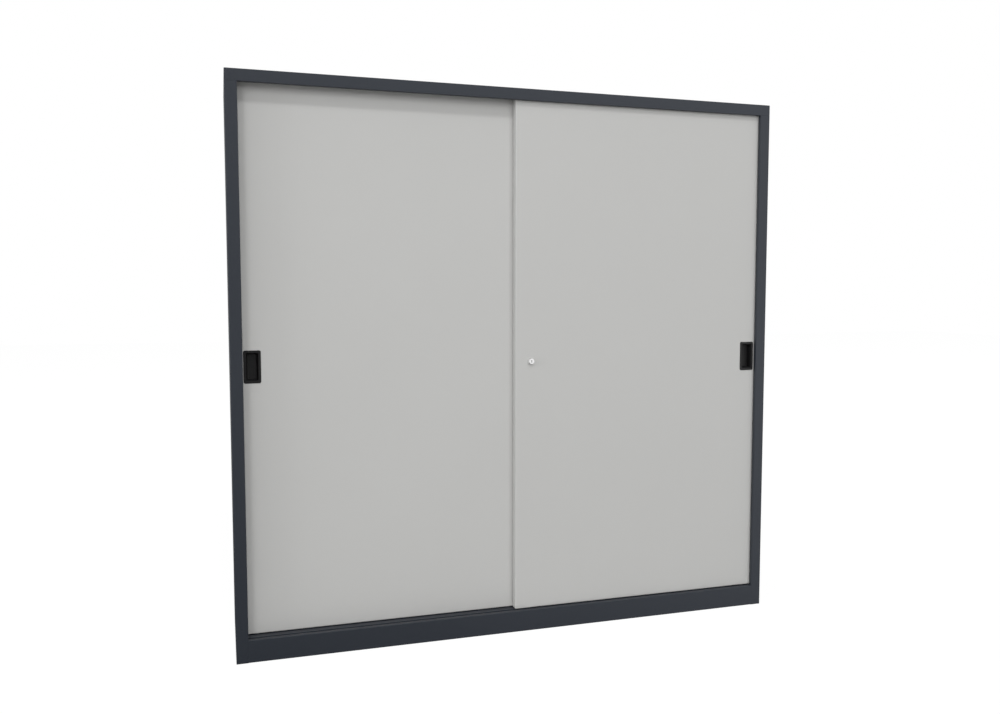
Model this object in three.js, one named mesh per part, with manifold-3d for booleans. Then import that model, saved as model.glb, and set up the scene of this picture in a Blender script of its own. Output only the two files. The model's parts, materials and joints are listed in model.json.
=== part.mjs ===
// Sliding door cabinet: a folded sheet steel carcass with two bays of shelves, closed by two sheet
// steel doors that roll past each other on a grooved bottom track and are steered by a top track.
// Millimetres, +Z up, +X to the right and -Y to the front. The origin is on the floor, under the
// middle of the cabinet.
import * as THREE from 'three';
import { mergeVertices } from 'three/addons/utils/BufferGeometryUtils.js';
import Module from 'manifold-3d';

const wasm = await Module();
wasm.setup();

// Overall size
const width = 2000;
const depth = 450;
const height = 1950;

// Sheets and the gaps between pieces
const bodySheet = 1;
const doorSheet = 1;
const seam = 0.3;
const trimGap = 0.2;
const overrun = 2;

// Front frame
const stileWidth = 40;
const stileReturn = 13;
const headerHeight = 40;
const headerReturn = 13;
const plinthHeight = 77;
const plinthLedge = 17;
const plinthLip = 17;
const footFlange = 30;

// Carcass behind the doors
const sideRearFlange = 25;
const capSideReturn = 13;
const capReturnEnd = 25;
const backPanelFlange = 12;
const partitionWidth = 24;
const partitionRearFlange = 8;
const baseDepthDown = 32;

// Doors
const doorSetback = 18;
const doorPitch = 34;
const doorThickness = 30;
const sideCover = 22;
const centreOverlap = 18;
const doorLift = 1.5;
const doorRise = 12;
const doorRearFlange = 14;
const rearDoorClearance = 4;

// Door stiffeners, of hat section
const stiffenerSheet = 0.8;
const stiffenerCrown = 40;
const stiffenerDepth = 21;
const stiffenerFlange = 18;
const stiffenerEndGap = 20;
const stiffenerSpacing = 334;

// Bottom track, with one groove for each door's rollers
const trackWall = 1.5;
const grooveWidth = 10;
const grooveDepth = 8;
const grooveLead = 1;
const trackLeg = 32;

// Rollers and their brackets
const rollerRadius = 17;
const rollerWidth = 6;
const rollerEdge = 1.5;
const rollerBore = 4.3;
const rollerInset = 4.5;
const rollerFromDoorEnd = 80;
const runningGap = 0.3;
const axleRadius = 4;
const axleEndGap = 0.4;
const collarRadius = 5.5;
const cheekGap = 2.5;
const bracketSheet = 2;
const bracketLength = 60;
const bracketCheekLength = 26;
const bracketFromRear = 2.5;
const slotClearance = 3;

// Top track and the guides that run in it
const topTrackWall = 1.5;
const topTrackWeb = 2;
const topTrackFin = 18;
const channelWidth = 9;
const guideThickness = 8;
const guideLength = 40;
const guideBaseWidth = 22;
const guideBaseHeight = 3;
const guideHeadGap = 5;
const guideFromDoorEnd = 110;

// Handle cups
const handleHeight = 989;
const cupFromDoorEnd = 53;
const cupWidth = 57;
const cupHeight = 110;
const cupCorner = 6;
const cupRim = 2;
const cupRimEdge = 1;
const cupStep = 4;
const cupWall = 2;
const cupDepth = 24;
const cupTuck = 3;

// Push lock
const lockFromDoorEnd = 58;
const lockRadius = 10;
const lockReach = 12;
const lockEdge = 0.8;
const lockClearance = 0.3;
const housingWall = 1;
const housingRim = 1.2;
const housingRimWidth = 1.2;
const housingDepth = 26;
const housingEndWall = 2;
const plungerBack = 12;
const boltRadius = 4;
const boltEnd = 24;
const nutThickness = 4;
const nutRim = 4;
const coreRadius = 6;
const coreDepth = 18;
const keywayWidth = 2;
const keywayHeight = 8;
const keywayDepth = 14;

// Uprights with slots, and the shelves that hook into them
const uprightSheet = 1.5;
const uprightWidth = 30;
const uprightDepth = 12;
const uprightHeadRoom = 8;
const uprightFrontInset = 34;
const uprightRearInset = 30;
const slotPitch = 60;
const slotWidth = 5;
const slotHeight = 16;
const slotMargin = 20;
const slotsPerShelf = 6;
const shelvesPerBay = 4;
const shelfSheet = 1;
const shelfFold = 25;
const shelfReturn = 12;
const shelfEndGap = 0.8;
const shelfFrontGap = 16;
const shelfRearGap = 6;
const lugThickness = 3.5;
const lugHeight = 12;
const lugReach = 5;
const lugRoot = 8;

// Levelling feet
const footPadRadius = 20;
const footPadHeight = 6;
const footPadEdge = 1.5;
const footStemRadius = 5;
const footStemGap = 3;
const footSocketRadius = 2.5;
const footSocketDepth = 10;
const footFromSide = 90;
const footFromInside = 55;
const bossWall = 4;
const bossHeight = 26;

// Rubber buffers for the doors' edges
const bufferRadius = 9;
const bufferBaseRadius = 12;
const bufferBase = 3;
const bufferRound = 3;
const bufferGap = 0.6;

// Smoothness of round pieces
const fineSides = 28;
const plainSides = 16;
const rollerSides = 24;
const cornerSteps = 3;
const hexSides = 6;

// Places that follow from the sizes above. Depths are counted back from the front plane.
const halfWidth = width / 2;
const innerHalf = halfWidth - bodySheet;
const halfOpening = halfWidth - stileWidth;
const halfDoor = (halfOpening + sideCover + centreOverlap) / 2;
const doorCentre = halfOpening + sideCover - halfDoor;
const doorBottom = plinthHeight + doorLift;
const doorTop = height - headerHeight + doorRise;
const doorHeight = doorTop - doorBottom;
const rearSetback = doorSetback + doorPitch;
const insideFront = rearSetback + doorThickness + rearDoorClearance;
const rearInner = depth - bodySheet - seam;
const insideBack = rearInner - bodySheet - seam;
const ceiling = height - bodySheet - seam;
const insideFloor = plinthHeight + seam;
const sideTop = height - headerHeight - seam;
const grooveFloor = plinthHeight - grooveDepth;
const uprightTop = sideTop - uprightHeadRoom;

const xAxis = new THREE.Vector3(1, 0, 0);
const yAxis = new THREE.Vector3(0, 1, 0);
const zAxis = new THREE.Vector3(0, 0, 1);
// A section in Y and Z is pulled along X, one in X and Y along Z, one in X and Z towards the front.
const alongX = new THREE.Matrix4().makeBasis(yAxis, zAxis, xAxis);
const alongZ = new THREE.Matrix4().makeBasis(xAxis, yAxis, zAxis);
const toFront = new THREE.Matrix4().makeBasis(xAxis, zAxis, yAxis.clone().negate());

const materials = {
  anthracite: { color: 0x3c4045, roughness: 0.55, metalness: 0.1 },
  lightGrey: { color: 0xbdbdba, roughness: 0.5, metalness: 0.1 },
  zinc: { color: 0xa8abad, roughness: 0.4, metalness: 0.8 },
  aluminium: { color: 0xc6c8ca, roughness: 0.35, metalness: 0.9 },
  chrome: { color: 0xe2e3e4, roughness: 0.12, metalness: 1 },
  blackPlastic: { color: 0x1b1b1c, roughness: 0.45, metalness: 0 },
  nylon: { color: 0x34363a, roughness: 0.5, metalness: 0 },
  rubber: { color: 0x1a1a1a, roughness: 0.9, metalness: 0 },
};

// Shared vertices are merged and triangles without area dropped, so the mesh is one closed skin.
function welded(geometry) {
  const bare = geometry.clone();
  for (const name of ['normal', 'uv', 'color']) bare.deleteAttribute(name);
  const merged = mergeVertices(bare);
  const index = [];
  for (let i = 0; i < merged.index.count; i += 3) {
    const corners = [0, 1, 2].map((k) => merged.index.getX(i + k));
    if (new Set(corners).size === 3) index.push(...corners);
  }
  merged.setIndex(index);
  return merged;
}

function solid(geometry) {
  const { attributes, index } = welded(geometry);
  const mesh = new wasm.Mesh({
    numProp: 3,
    vertProperties: new Float32Array(attributes.position.array),
    triVerts: new Uint32Array(index.array),
  });
  return new wasm.Manifold(mesh);
}

function surface(body) {
  const { vertProperties, triVerts } = body.getMesh();
  const geometry = new THREE.BufferGeometry();
  geometry.setAttribute('position', new THREE.BufferAttribute(new Float32Array(vertProperties), 3));
  geometry.setIndex(new THREE.BufferAttribute(new Uint32Array(triVerts), 1));
  return geometry;
}

const joined = (...pieces) => surface(pieces.map(solid).reduce((all, next) => all.add(next)));
const cut = (piece, ...tools) => surface(
  tools.map(solid).reduce((left, tool) => left.subtract(tool), solid(piece)),
);

// A box from its lowest to its highest corner.
function box(x0, y0, z0, x1, y1, z1) {
  const geometry = new THREE.BoxGeometry(x1 - x0, y1 - y0, z1 - z0);
  return geometry.translate((x0 + x1) / 2, (y0 + y1) / 2, (z0 + z1) / 2);
}

// A section pulled along a direction, starting at a place on that direction's line.
function pulled(shape, direction, length, start = 0, bevel = { bevelEnabled: false }) {
  const settings = { depth: length, curveSegments: cornerSteps, ...bevel };
  const geometry = new THREE.ExtrudeGeometry(shape, settings);
  return geometry.translate(0, 0, start).applyMatrix4(direction);
}

// Rounds the edges at both ends of what is pulled, within the outline that is pulled.
const rounding = (radius, steps) => ({
  bevelEnabled: true,
  bevelThickness: radius,
  bevelSize: radius,
  bevelOffset: -radius,
  bevelSegments: steps,
});

// The outline of a bent sheet: the line of its outer face, and that line moved over to its left by
// the sheet's thickness, with mitred corners.
function bentSheet(line, thickness) {
  const points = line.map(([u, v]) => new THREE.Vector2(u, v));
  const sides = points.slice(1).map((p, i) => {
    const run = p.clone().sub(points[i]).normalize();
    return new THREE.Vector2(-run.y, run.x);
  });
  const inner = points.map((p, i) => {
    const before = sides[Math.max(i - 1, 0)];
    const after = sides[Math.min(i, sides.length - 1)];
    const mitre = before.clone().add(after).multiplyScalar(thickness / (1 + before.dot(after)));
    return p.clone().add(mitre);
  });
  return new THREE.Shape([...points, ...inner.reverse()]);
}

const mirrored = (line) => line.map(([u, v]) => [-u, v]).reverse();

// A rectangle with round corners about the origin.
function roundedRectangle(wide, tall, radius) {
  const [x, y] = [wide / 2, tall / 2];
  const shape = new THREE.Shape();
  shape.moveTo(-x + radius, -y);
  shape.lineTo(x - radius, -y).absarc(x - radius, -y + radius, radius, -Math.PI / 2, 0);
  shape.lineTo(x, y - radius).absarc(x - radius, y - radius, radius, 0, Math.PI / 2);
  shape.lineTo(-x + radius, y).absarc(-x + radius, y - radius, radius, Math.PI / 2, Math.PI);
  shape.lineTo(-x, -y + radius).absarc(-x + radius, -y + radius, radius, Math.PI, Math.PI * 1.5);
  return shape;
}

// A turned piece about the Y axis, from [radius, y] points that start and end on the axis, or from a
// closed ring of them.
function turned(points, sides = plainSides) {
  return new THREE.LatheGeometry(points.map(([r, y]) => new THREE.Vector2(r, y)), sides);
}

const closed = (points) => [...points, points[0]];
const rod = (radius, y0, y1, sides) => turned([[0, y0], [radius, y0], [radius, y1], [0, y1]], sides);

function named(name, geometry, finish, position = [0, 0, 0]) {
  const mesh = new THREE.Mesh(geometry, new THREE.MeshStandardMaterial(materials[finish]));
  mesh.name = name;
  mesh.position.set(...position);
  return mesh;
}

// One sheet makes the side wall, the stile at its front with a short return, and the rear flange.
function sidePanel(side) {
  const line = [
    [-halfWidth + sideRearFlange, depth],
    [-halfWidth, depth],
    [-halfWidth, 0],
    [-halfWidth + stileWidth, 0],
    [-halfWidth + stileWidth, stileReturn],
  ];
  const section = bentSheet(side < 0 ? line : mirrored(line), bodySheet);
  return pulled(section, alongZ, sideTop);
}

// The top is a shallow cap over the side panels. Its front skirt is the header above the doors.
function topPanel() {
  const low = height - headerHeight;
  const lowCut = low + bodySheet + overrun;
  const sideEdge = halfWidth - capSideReturn;
  return cut(
    box(-halfWidth, 0, low, halfWidth, depth, height),
    box(-innerHalf, bodySheet, low + bodySheet, innerHalf, depth - bodySheet, height - bodySheet),
    box(-sideEdge, headerReturn, low - overrun, sideEdge, depth - bodySheet, lowCut),
    box(-innerHalf, depth - capReturnEnd, low - overrun, innerHalf, depth - bodySheet, lowCut),
  );
}

// The levelling feet's places on the floor plan.
const footX = halfWidth - footFromSide;
const footPlaces = [
  ['front_left', -footX, insideFront + footFromInside],
  ['front_right', footX, insideFront + footFromInside],
  ['rear_left', -footX, insideBack - footFromInside],
  ['rear_right', footX, insideBack - footFromInside],
];

// A piece made about the Y axis, turned upright and moved to its place on the floor plan.
const stood = (geometry, x, y) => geometry.rotateX(Math.PI / 2).translate(x, y, 0);

// The floor of the bays, with flanges turned down and four threaded bosses for the levelling feet.
function basePanel() {
  const end = innerHalf - seam;
  const low = plinthHeight - baseDepthDown;
  const under = plinthHeight - bodySheet;
  const tray = cut(
    box(-end, insideFront, low, end, insideBack, plinthHeight),
    box(
      -end + bodySheet, insideFront + bodySheet, low - overrun,
      end - bodySheet, insideBack - bodySheet, under,
    ),
  );
  const holeRadius = footStemRadius + seam;
  const bosses = [];
  const holes = [];
  for (const [, x, y] of footPlaces) {
    const boss = rod(holeRadius + bossWall, under - bossHeight, under + bodySheet / 2);
    const hole = rod(holeRadius, low - overrun, plinthHeight + overrun);
    bosses.push(stood(boss, x, y));
    holes.push(stood(hole, x, y));
  }
  return cut(joined(tray, ...bosses), ...holes);
}

// A round pad on a threaded stem, turned from inside the cabinet by a socket in the stem's top.
function levellingFoot() {
  const top = plinthHeight - footStemGap;
  return turned([
    [0, 0],
    [footPadRadius - footPadEdge, 0],
    [footPadRadius, footPadEdge],
    [footPadRadius, footPadHeight - footPadEdge],
    [footPadRadius - footPadEdge, footPadHeight],
    [footStemRadius, footPadHeight],
    [footStemRadius, top],
    [footSocketRadius, top],
    [footSocketRadius, top - footSocketDepth],
    [0, top - footSocketDepth],
  ]);
}

function frontPlinth() {
  const line = [
    [plinthLedge, plinthHeight - plinthLip],
    [plinthLedge, plinthHeight],
    [0, plinthHeight],
    [0, 0],
    [footFlange, 0],
  ];
  const end = halfOpening - seam;
  return pulled(bentSheet(line, bodySheet), alongX, 2 * end, -end);
}

function rearPlinth() {
  const line = [
    [rearInner - footFlange, 0],
    [rearInner, 0],
    [rearInner, plinthHeight - seam],
  ];
  const end = innerHalf - seam;
  return pulled(bentSheet(line, bodySheet), alongX, 2 * end, -end);
}

// Two pans close the back. They meet inside the hollow centre partition.
function backPanel(side) {
  const outer = -innerHalf + seam;
  const line = [
    [-seam / 2, rearInner - backPanelFlange],
    [-seam / 2, rearInner],
    [outer, rearInner],
    [outer, rearInner - backPanelFlange],
  ];
  const section = bentSheet(side < 0 ? line : mirrored(line), bodySheet);
  return pulled(section, alongZ, ceiling - insideFloor, insideFloor);
}

// The partition is a hollow folded channel, open towards the back panels.
function centrePartition() {
  const half = partitionWidth / 2;
  const nose = insideFront + seam;
  const line = [
    [-half + partitionRearFlange, insideBack],
    [-half, insideBack],
    [-half, nose],
    [half, nose],
    [half, insideBack],
    [half - partitionRearFlange, insideBack],
  ];
  return pulled(bentSheet(line, bodySheet), alongZ, ceiling - insideFloor, insideFloor);
}

// The grooves' places, as [start, end] depths. The first groove's front wall is the plinth's lip.
const grooves = [doorSetback, rearSetback].map((face) => {
  const start = face - grooveLead;
  return [start, start + grooveWidth];
});

function bottomTrack() {
  const legEnd = plinthHeight - trackLeg;
  const rear = insideFront - seam;
  const front = plinthLedge + seam;
  const [frontGroove, rearGroove] = grooves;
  const line = [
    [rear, legEnd],
    [rear, plinthHeight],
    [rearGroove[1], plinthHeight],
    [rearGroove[1], grooveFloor],
    [rearGroove[0], grooveFloor],
    [rearGroove[0], plinthHeight],
    [frontGroove[1], plinthHeight],
    [frontGroove[1], grooveFloor],
    [front, grooveFloor],
    [front, legEnd],
  ];
  const end = innerHalf - seam;
  return pulled(bentSheet(line, trackWall), alongX, 2 * end, -end);
}

// A web under the top sheet with two open channels, one over the middle of each door.
function topTrack() {
  const underWeb = ceiling - topTrackWeb;
  const low = underWeb - topTrackFin;
  const points = [];
  for (const face of [doorSetback, rearSetback]) {
    const middle = face + doorThickness / 2;
    for (const side of [-1, 1]) {
      const fin = [channelWidth / 2, channelWidth / 2 + topTrackWall].map((d) => middle + side * d);
      fin.sort((a, b) => a - b);
      points.push([fin[0], underWeb], [fin[0], low], [fin[1], low], [fin[1], underWeb]);
    }
  }
  points[0][1] = ceiling;
  points[points.length - 1][1] = ceiling;
  const end = innerHalf - seam;
  const shape = new THREE.Shape(points.map(([u, v]) => new THREE.Vector2(u, v)));
  return pulled(shape, alongX, 2 * end, -end);
}

// Walls that carry the uprights, as [bay, name of the wall, its x, direction into the bay].
const walls = [
  ['left', 'outer', -innerHalf + seam, 1],
  ['left', 'inner', -partitionWidth / 2 - seam, -1],
  ['right', 'inner', partitionWidth / 2 + seam, 1],
  ['right', 'outer', innerHalf - seam, -1],
];
const uprightFront = insideFront + uprightFrontInset;
const uprightRear = insideBack - uprightRearInset;
const uprightLength = uprightTop - insideFloor - seam;
const slotCount = Math.floor((uprightLength - 2 * slotMargin) / slotPitch);

// A slotted channel with its open side to the wall. It is drawn for a wall on its left.
function slottedUpright(into) {
  const half = uprightWidth / 2;
  const line = [
    [0, half],
    [uprightDepth, half],
    [uprightDepth, -half],
    [0, -half],
  ];
  const section = bentSheet(into > 0 ? line.reverse() : mirrored(line).reverse(), uprightSheet);
  const face = into * uprightDepth;
  const slots = [];
  for (let i = 0; i < slotCount; i += 1) {
    const low = slotMargin + i * slotPitch;
    slots.push(box(
      face - uprightSheet - overrun, -slotWidth / 2, low,
      face + uprightSheet + overrun, slotWidth / 2, low + slotHeight,
    ));
  }
  return cut(pulled(section, alongZ, uprightLength), ...slots);
}

// A shelf is a folded pan with two lugs at each end, which drop into slots of the uprights.
const shelfEnds = innerHalf - partitionWidth / 2 - 2 * (seam + uprightDepth + shelfEndGap);
const shelfFront = insideFront + shelfFrontGap;
const shelfBack = insideBack - shelfRearGap;
const bayCentre = (innerHalf + partitionWidth / 2) / 2;

function shelf() {
  const line = [
    [shelfFront + shelfReturn, -shelfFold],
    [shelfFront, -shelfFold],
    [shelfFront, 0],
    [shelfBack, 0],
    [shelfBack, -shelfFold],
    [shelfBack - shelfReturn, -shelfFold],
  ];
  const end = shelfEnds / 2;
  const pan = pulled(bentSheet(line.reverse(), shelfSheet), alongX, 2 * end, -end);
  const tip = end + shelfEndGap + uprightSheet + lugReach;
  const lugs = [];
  for (const y of [uprightFront, uprightRear]) {
    const [y0, y1] = [y - lugThickness / 2, y + lugThickness / 2];
    lugs.push(box(-tip, y0, -lugHeight, -end + lugRoot, y1, -shelfSheet / 2));
    lugs.push(box(end - lugRoot, y0, -lugHeight, tip, y1, -shelfSheet / 2));
  }
  return joined(pan, ...lugs);
}

// A shelf's top stands a lug's height above the lower edge of its slot.
const slotBase = insideFloor + seam + slotMargin;
const shelfHeight = (level) => slotBase + level * slotsPerShelf * slotPitch + seam + lugHeight;

// A round rubber stop on a side wall, in the path of one door's edge. It is drawn pointing to +Y.
function buffer() {
  const reach = innerHalf - seam - (halfOpening + sideCover) - bufferGap;
  return turned([
    [0, 0],
    [bufferBaseRadius, 0],
    [bufferBaseRadius, bufferBase],
    [bufferRadius, bufferBase],
    [bufferRadius, reach - bufferRound],
    [bufferRadius - bufferRound, reach],
    [0, reach],
  ]);
}

// The pieces of a door are placed from the middle of the lower edge of its front face.
const cupX = halfDoor - cupFromDoorEnd;
const rollerX = halfDoor - rollerFromDoorEnd;
const guideX = halfDoor - guideFromDoorEnd;
const rollerZ = grooveFloor + runningGap + rollerRadius - doorBottom;
const handleZ = handleHeight - doorBottom;
const lockX = -halfDoor + lockFromDoorEnd;
const housingRadius = lockRadius + lockClearance + housingWall;

// A pan of sheet with returns all round and flanges turned in at the back.
function doorPanel(handleSide, hasLock) {
  const flangeEdge = halfDoor - doorRearFlange;
  const slotHalf = rollerRadius + slotClearance;
  const slotBack = rollerInset + rollerWidth / 2 + runningGap + axleEndGap;
  const cupHole = roundedRectangle(
    cupWidth - 2 * cupStep + 2 * seam, cupHeight - 2 * cupStep + 2 * seam, cupCorner - cupStep / 2,
  );
  const cupCut = pulled(cupHole, toFront, 2 * overrun + doorSheet, -doorSheet - overrun);
  const tools = [
    box(
      -halfDoor + doorSheet, doorSheet, doorSheet,
      halfDoor - doorSheet, doorThickness - doorSheet, doorHeight - doorSheet,
    ),
    box(
      -flangeEdge, doorThickness - doorSheet - overrun, doorRearFlange,
      flangeEdge, doorThickness + overrun, doorHeight - doorRearFlange,
    ),
    cupCut.translate(handleSide * cupX, 0, handleZ),
  ];
  for (const x of [-rollerX, rollerX]) {
    tools.push(box(x - slotHalf, doorSheet, -overrun, x + slotHalf, slotBack, doorSheet + overrun));
  }
  if (hasLock) {
    const hole = rod(housingRadius + seam, -overrun, doorSheet + overrun, fineSides);
    tools.push(hole.translate(lockX, 0, handleZ));
  }
  return cut(box(-halfDoor, 0, 0, halfDoor, doorThickness, doorHeight), ...tools);
}

// A hat section glued to the back of the door's face.
function stiffener() {
  const crown = stiffenerCrown / 2;
  const edge = crown + stiffenerFlange;
  const foot = doorSheet + seam;
  const line = [
    [-edge, foot],
    [-crown, foot],
    [-crown, foot + stiffenerDepth],
    [crown, foot + stiffenerDepth],
    [crown, foot],
    [edge, foot],
  ];
  const length = doorHeight - 2 * stiffenerEndGap;
  return pulled(bentSheet(line, stiffenerSheet), alongZ, length, stiffenerEndGap);
}

// A moulded cup with a raised rim, pushed into a hole of the door's face.
function handleCup() {
  const [halfWide, halfTall] = [cupWidth / 2, cupHeight / 2];
  const plate = roundedRectangle(cupWidth, cupHeight, cupCorner);
  const slab = pulled(plate, toFront, 2 * cupRim - cupRimEdge, -cupRim, rounding(cupRimEdge, 2));
  const rim = cut(slab, box(-halfWide, -trimGap, -halfTall, halfWide, cupDepth, halfTall));
  const barrelWide = cupWidth - 2 * cupStep;
  const barrelTall = cupHeight - 2 * cupStep;
  const corner = cupCorner - cupStep / 2;
  const tube = roundedRectangle(barrelWide, barrelTall, corner);
  const barrel = pulled(tube, toFront, cupDepth + cupRim / 2, -cupDepth);
  const hollow = roundedRectangle(barrelWide - 2 * cupWall, barrelTall - 2 * cupWall, corner);
  const hollowLength = cupDepth + cupRim + overrun - cupWall;
  const hollowStart = -cupDepth + cupWall + cupTuck;
  const recess = pulled(hollow, toFront, hollowLength, hollowStart, rounding(cupTuck, 3));
  return cut(joined(rim, barrel), recess);
}

// The bracket bolts to the door's lower return and holds the roller on an axle behind the face.
function rollerBracket() {
  const cheek = rollerInset + rollerWidth / 2 + cheekGap;
  const floor = doorSheet + seam;
  const half = bracketLength / 2;
  const cheekHalf = bracketCheekLength / 2;
  const plateBack = doorThickness - doorSheet - bracketFromRear;
  const plate = box(-half, cheek, floor, half, plateBack, floor + bracketSheet);
  const wall = box(-cheekHalf, cheek, floor, cheekHalf, cheek + bracketSheet, rollerZ + cheekHalf);
  const collarStart = rollerInset + rollerWidth / 2 + runningGap;
  const inCheek = cheek + bracketSheet / 2;
  const collar = rod(collarRadius, collarStart, inCheek).translate(0, 0, rollerZ);
  const axle = rod(axleRadius, doorSheet + axleEndGap, inCheek).translate(0, 0, rollerZ);
  return joined(plate, wall, collar, axle);
}

function roller() {
  const half = rollerWidth / 2;
  return turned(closed([
    [rollerBore, -half],
    [rollerRadius - rollerEdge, -half],
    [rollerRadius, -half + rollerEdge],
    [rollerRadius, half - rollerEdge],
    [rollerRadius - rollerEdge, half],
    [rollerBore, half],
  ]), rollerSides);
}

// A block on the door's upper return with a round-ended fin that slides in the top track.
function topGuide() {
  const foot = doorHeight + seam;
  const finTop = ceiling - topTrackWeb - guideHeadGap - doorBottom;
  const middle = doorThickness / 2;
  const half = guideLength / 2;
  const [front, rear] = [middle - guideBaseWidth / 2, middle + guideBaseWidth / 2];
  const base = box(-half, front, foot, half, rear, foot + guideBaseHeight);
  const end = guideThickness / 2;
  const shape = new THREE.Shape();
  shape.moveTo(-half + end, -end);
  shape.lineTo(half - end, -end).absarc(half - end, 0, end, -Math.PI / 2, Math.PI / 2);
  shape.lineTo(-half + end, end).absarc(-half + end, 0, end, Math.PI / 2, Math.PI * 1.5);
  const fin = pulled(shape, alongZ, finTop - foot - guideBaseHeight / 2, foot + guideBaseHeight / 2);
  return joined(base, fin.translate(0, middle, 0));
}

// The lock's sleeve has a thin rim on the door's face and an end wall that steadies the bolt.
function lockHousing() {
  const bore = lockRadius + lockClearance;
  const boltBore = boltRadius + lockClearance;
  const rimRadius = housingRadius + housingRimWidth;
  return turned(closed([
    [bore, -housingRim],
    [rimRadius - lockEdge, -housingRim],
    [rimRadius, -housingRim + lockEdge],
    [rimRadius, -trimGap],
    [housingRadius, -trimGap],
    [housingRadius, housingDepth],
    [boltBore, housingDepth],
    [boltBore, housingDepth - housingEndWall],
    [bore, housingDepth - housingEndWall],
  ]), fineSides);
}

function lockNut() {
  const start = doorSheet + trimGap;
  const end = start + nutThickness;
  const body = rod(housingRadius + nutRim, start, end, hexSides);
  return cut(body, rod(housingRadius + seam, start - overrun, end + overrun, fineSides));
}

// The button that is pushed in, with the bolt on its back and a bore for the key cylinder.
function lockPlunger() {
  return turned([
    [0, -lockReach + coreDepth + seam],
    [coreRadius + seam, -lockReach + coreDepth + seam],
    [coreRadius + seam, -lockReach],
    [lockRadius - lockEdge, -lockReach],
    [lockRadius, -lockReach + lockEdge],
    [lockRadius, plungerBack],
    [boltRadius, plungerBack],
    [boltRadius, boltEnd - lockEdge],
    [boltRadius - lockEdge, boltEnd],
    [0, boltEnd],
  ], fineSides);
}

function lockCore() {
  const cylinder = rod(coreRadius, -lockReach, -lockReach + coreDepth, fineSides);
  const [half, tall] = [keywayWidth / 2, keywayHeight / 2];
  return cut(cylinder, box(-half, -lockReach - overrun, -tall, half, -lockReach + keywayDepth, tall));
}

// Every piece of one door, in a group that stands where the closed door stands.
function door(name, side, faceDepth, hasLock) {
  const group = new THREE.Group();
  group.position.set(side * doorCentre, faceDepth, doorBottom);
  group.add(named(`${name}_panel`, doorPanel(side, hasLock), 'lightGrey'));
  group.add(named(`${name}_handle`, handleCup(), 'blackPlastic', [side * cupX, 0, handleZ]));
  for (const [end, sign] of [['left', -1], ['right', 1]]) {
    const rollerPlace = [sign * rollerX, rollerInset, rollerZ];
    const stiffenerX = sign * stiffenerSpacing / 2;
    group.add(named(`${name}_stiffener_${end}`, stiffener(), 'zinc', [stiffenerX, 0, 0]));
    group.add(named(`${name}_roller_bracket_${end}`, rollerBracket(), 'zinc', [sign * rollerX, 0, 0]));
    group.add(named(`${name}_roller_${end}`, roller(), 'nylon', rollerPlace));
    group.add(named(`${name}_top_guide_${end}`, topGuide(), 'blackPlastic', [sign * guideX, 0, 0]));
  }
  return group;
}

function pushLock() {
  const group = new THREE.Group();
  group.position.set(lockX, 0, handleZ);
  group.add(named('lock_housing', lockHousing(), 'chrome'));
  group.add(named('lock_nut', lockNut(), 'zinc'));
  group.add(named('lock_plunger', lockPlunger(), 'chrome'));
  group.add(named('lock_core', lockCore(), 'chrome'));
  return group;
}

function shelving() {
  const group = new THREE.Group();
  for (const [bay, wall, x, into] of walls) {
    for (const [end, y] of [['front', uprightFront], ['rear', uprightRear]]) {
      const place = [x, y, insideFloor + seam];
      group.add(named(`upright_${bay}_${wall}_${end}`, slottedUpright(into), 'anthracite', place));
    }
  }
  for (const [bay, x] of [['left', -bayCentre], ['right', bayCentre]]) {
    for (let level = 1; level <= shelvesPerBay; level += 1) {
      group.add(named(`shelf_${bay}_${level}`, shelf(), 'anthracite', [x, 0, shelfHeight(level)]));
    }
  }
  return group;
}

function buffers() {
  const group = new THREE.Group();
  for (const [name, faceDepth] of [['front_door', doorSetback], ['rear_door', rearSetback]]) {
    for (const [end, sign] of [['left', -1], ['right', 1]]) {
      const mesh = named(`${name}_buffer_${end}`, buffer(), 'rubber');
      mesh.position.set(sign * (innerHalf - seam), faceDepth + doorThickness / 2, handleHeight);
      mesh.rotation.z = sign * Math.PI / 2;
      group.add(mesh);
    }
  }
  return group;
}

function carcass() {
  const group = new THREE.Group();
  group.add(named('left_side_panel', sidePanel(-1), 'anthracite'));
  group.add(named('right_side_panel', sidePanel(1), 'anthracite'));
  group.add(named('top_panel', topPanel(), 'anthracite'));
  group.add(named('base_panel', basePanel(), 'anthracite'));
  group.add(named('front_plinth', frontPlinth(), 'anthracite'));
  group.add(named('rear_plinth', rearPlinth(), 'anthracite'));
  group.add(named('back_panel_left', backPanel(-1), 'anthracite'));
  group.add(named('back_panel_right', backPanel(1), 'anthracite'));
  group.add(named('centre_partition', centrePartition(), 'anthracite'));
  group.add(named('bottom_track', bottomTrack(), 'anthracite'));
  group.add(named('top_track', topTrack(), 'aluminium'));
  for (const [name, x, y] of footPlaces) {
    const foot = named(`levelling_foot_${name}`, levellingFoot(), 'zinc', [x, y, 0]);
    foot.rotation.x = Math.PI / 2;
    group.add(foot);
  }
  return group;
}

const frontDoor = door('front_door', 1, doorSetback, true);
frontDoor.add(pushLock());

const cabinet = new THREE.Group();
cabinet.position.y = -depth / 2;
cabinet.add(carcass(), shelving(), buffers(), frontDoor, door('rear_door', -1, rearSetback, false));

export default cabinet;
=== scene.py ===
# %% [markdown]
# # A steel cabinet with sliding doors
# The real object is a floor-standing office cabinet. Its carcass is folded from 1 mm sheet and
# powder coated in anthracite. Two light grey doors roll past each other behind a frame of stiles,
# header and plinth. Each door is pulled by a black moulded cup, and a bright push lock holds the
# front one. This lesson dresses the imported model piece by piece. What shows is modelled again with
# its rounded folds, and what is hidden keeps its shape and gets softened edges and a finish.

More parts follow.
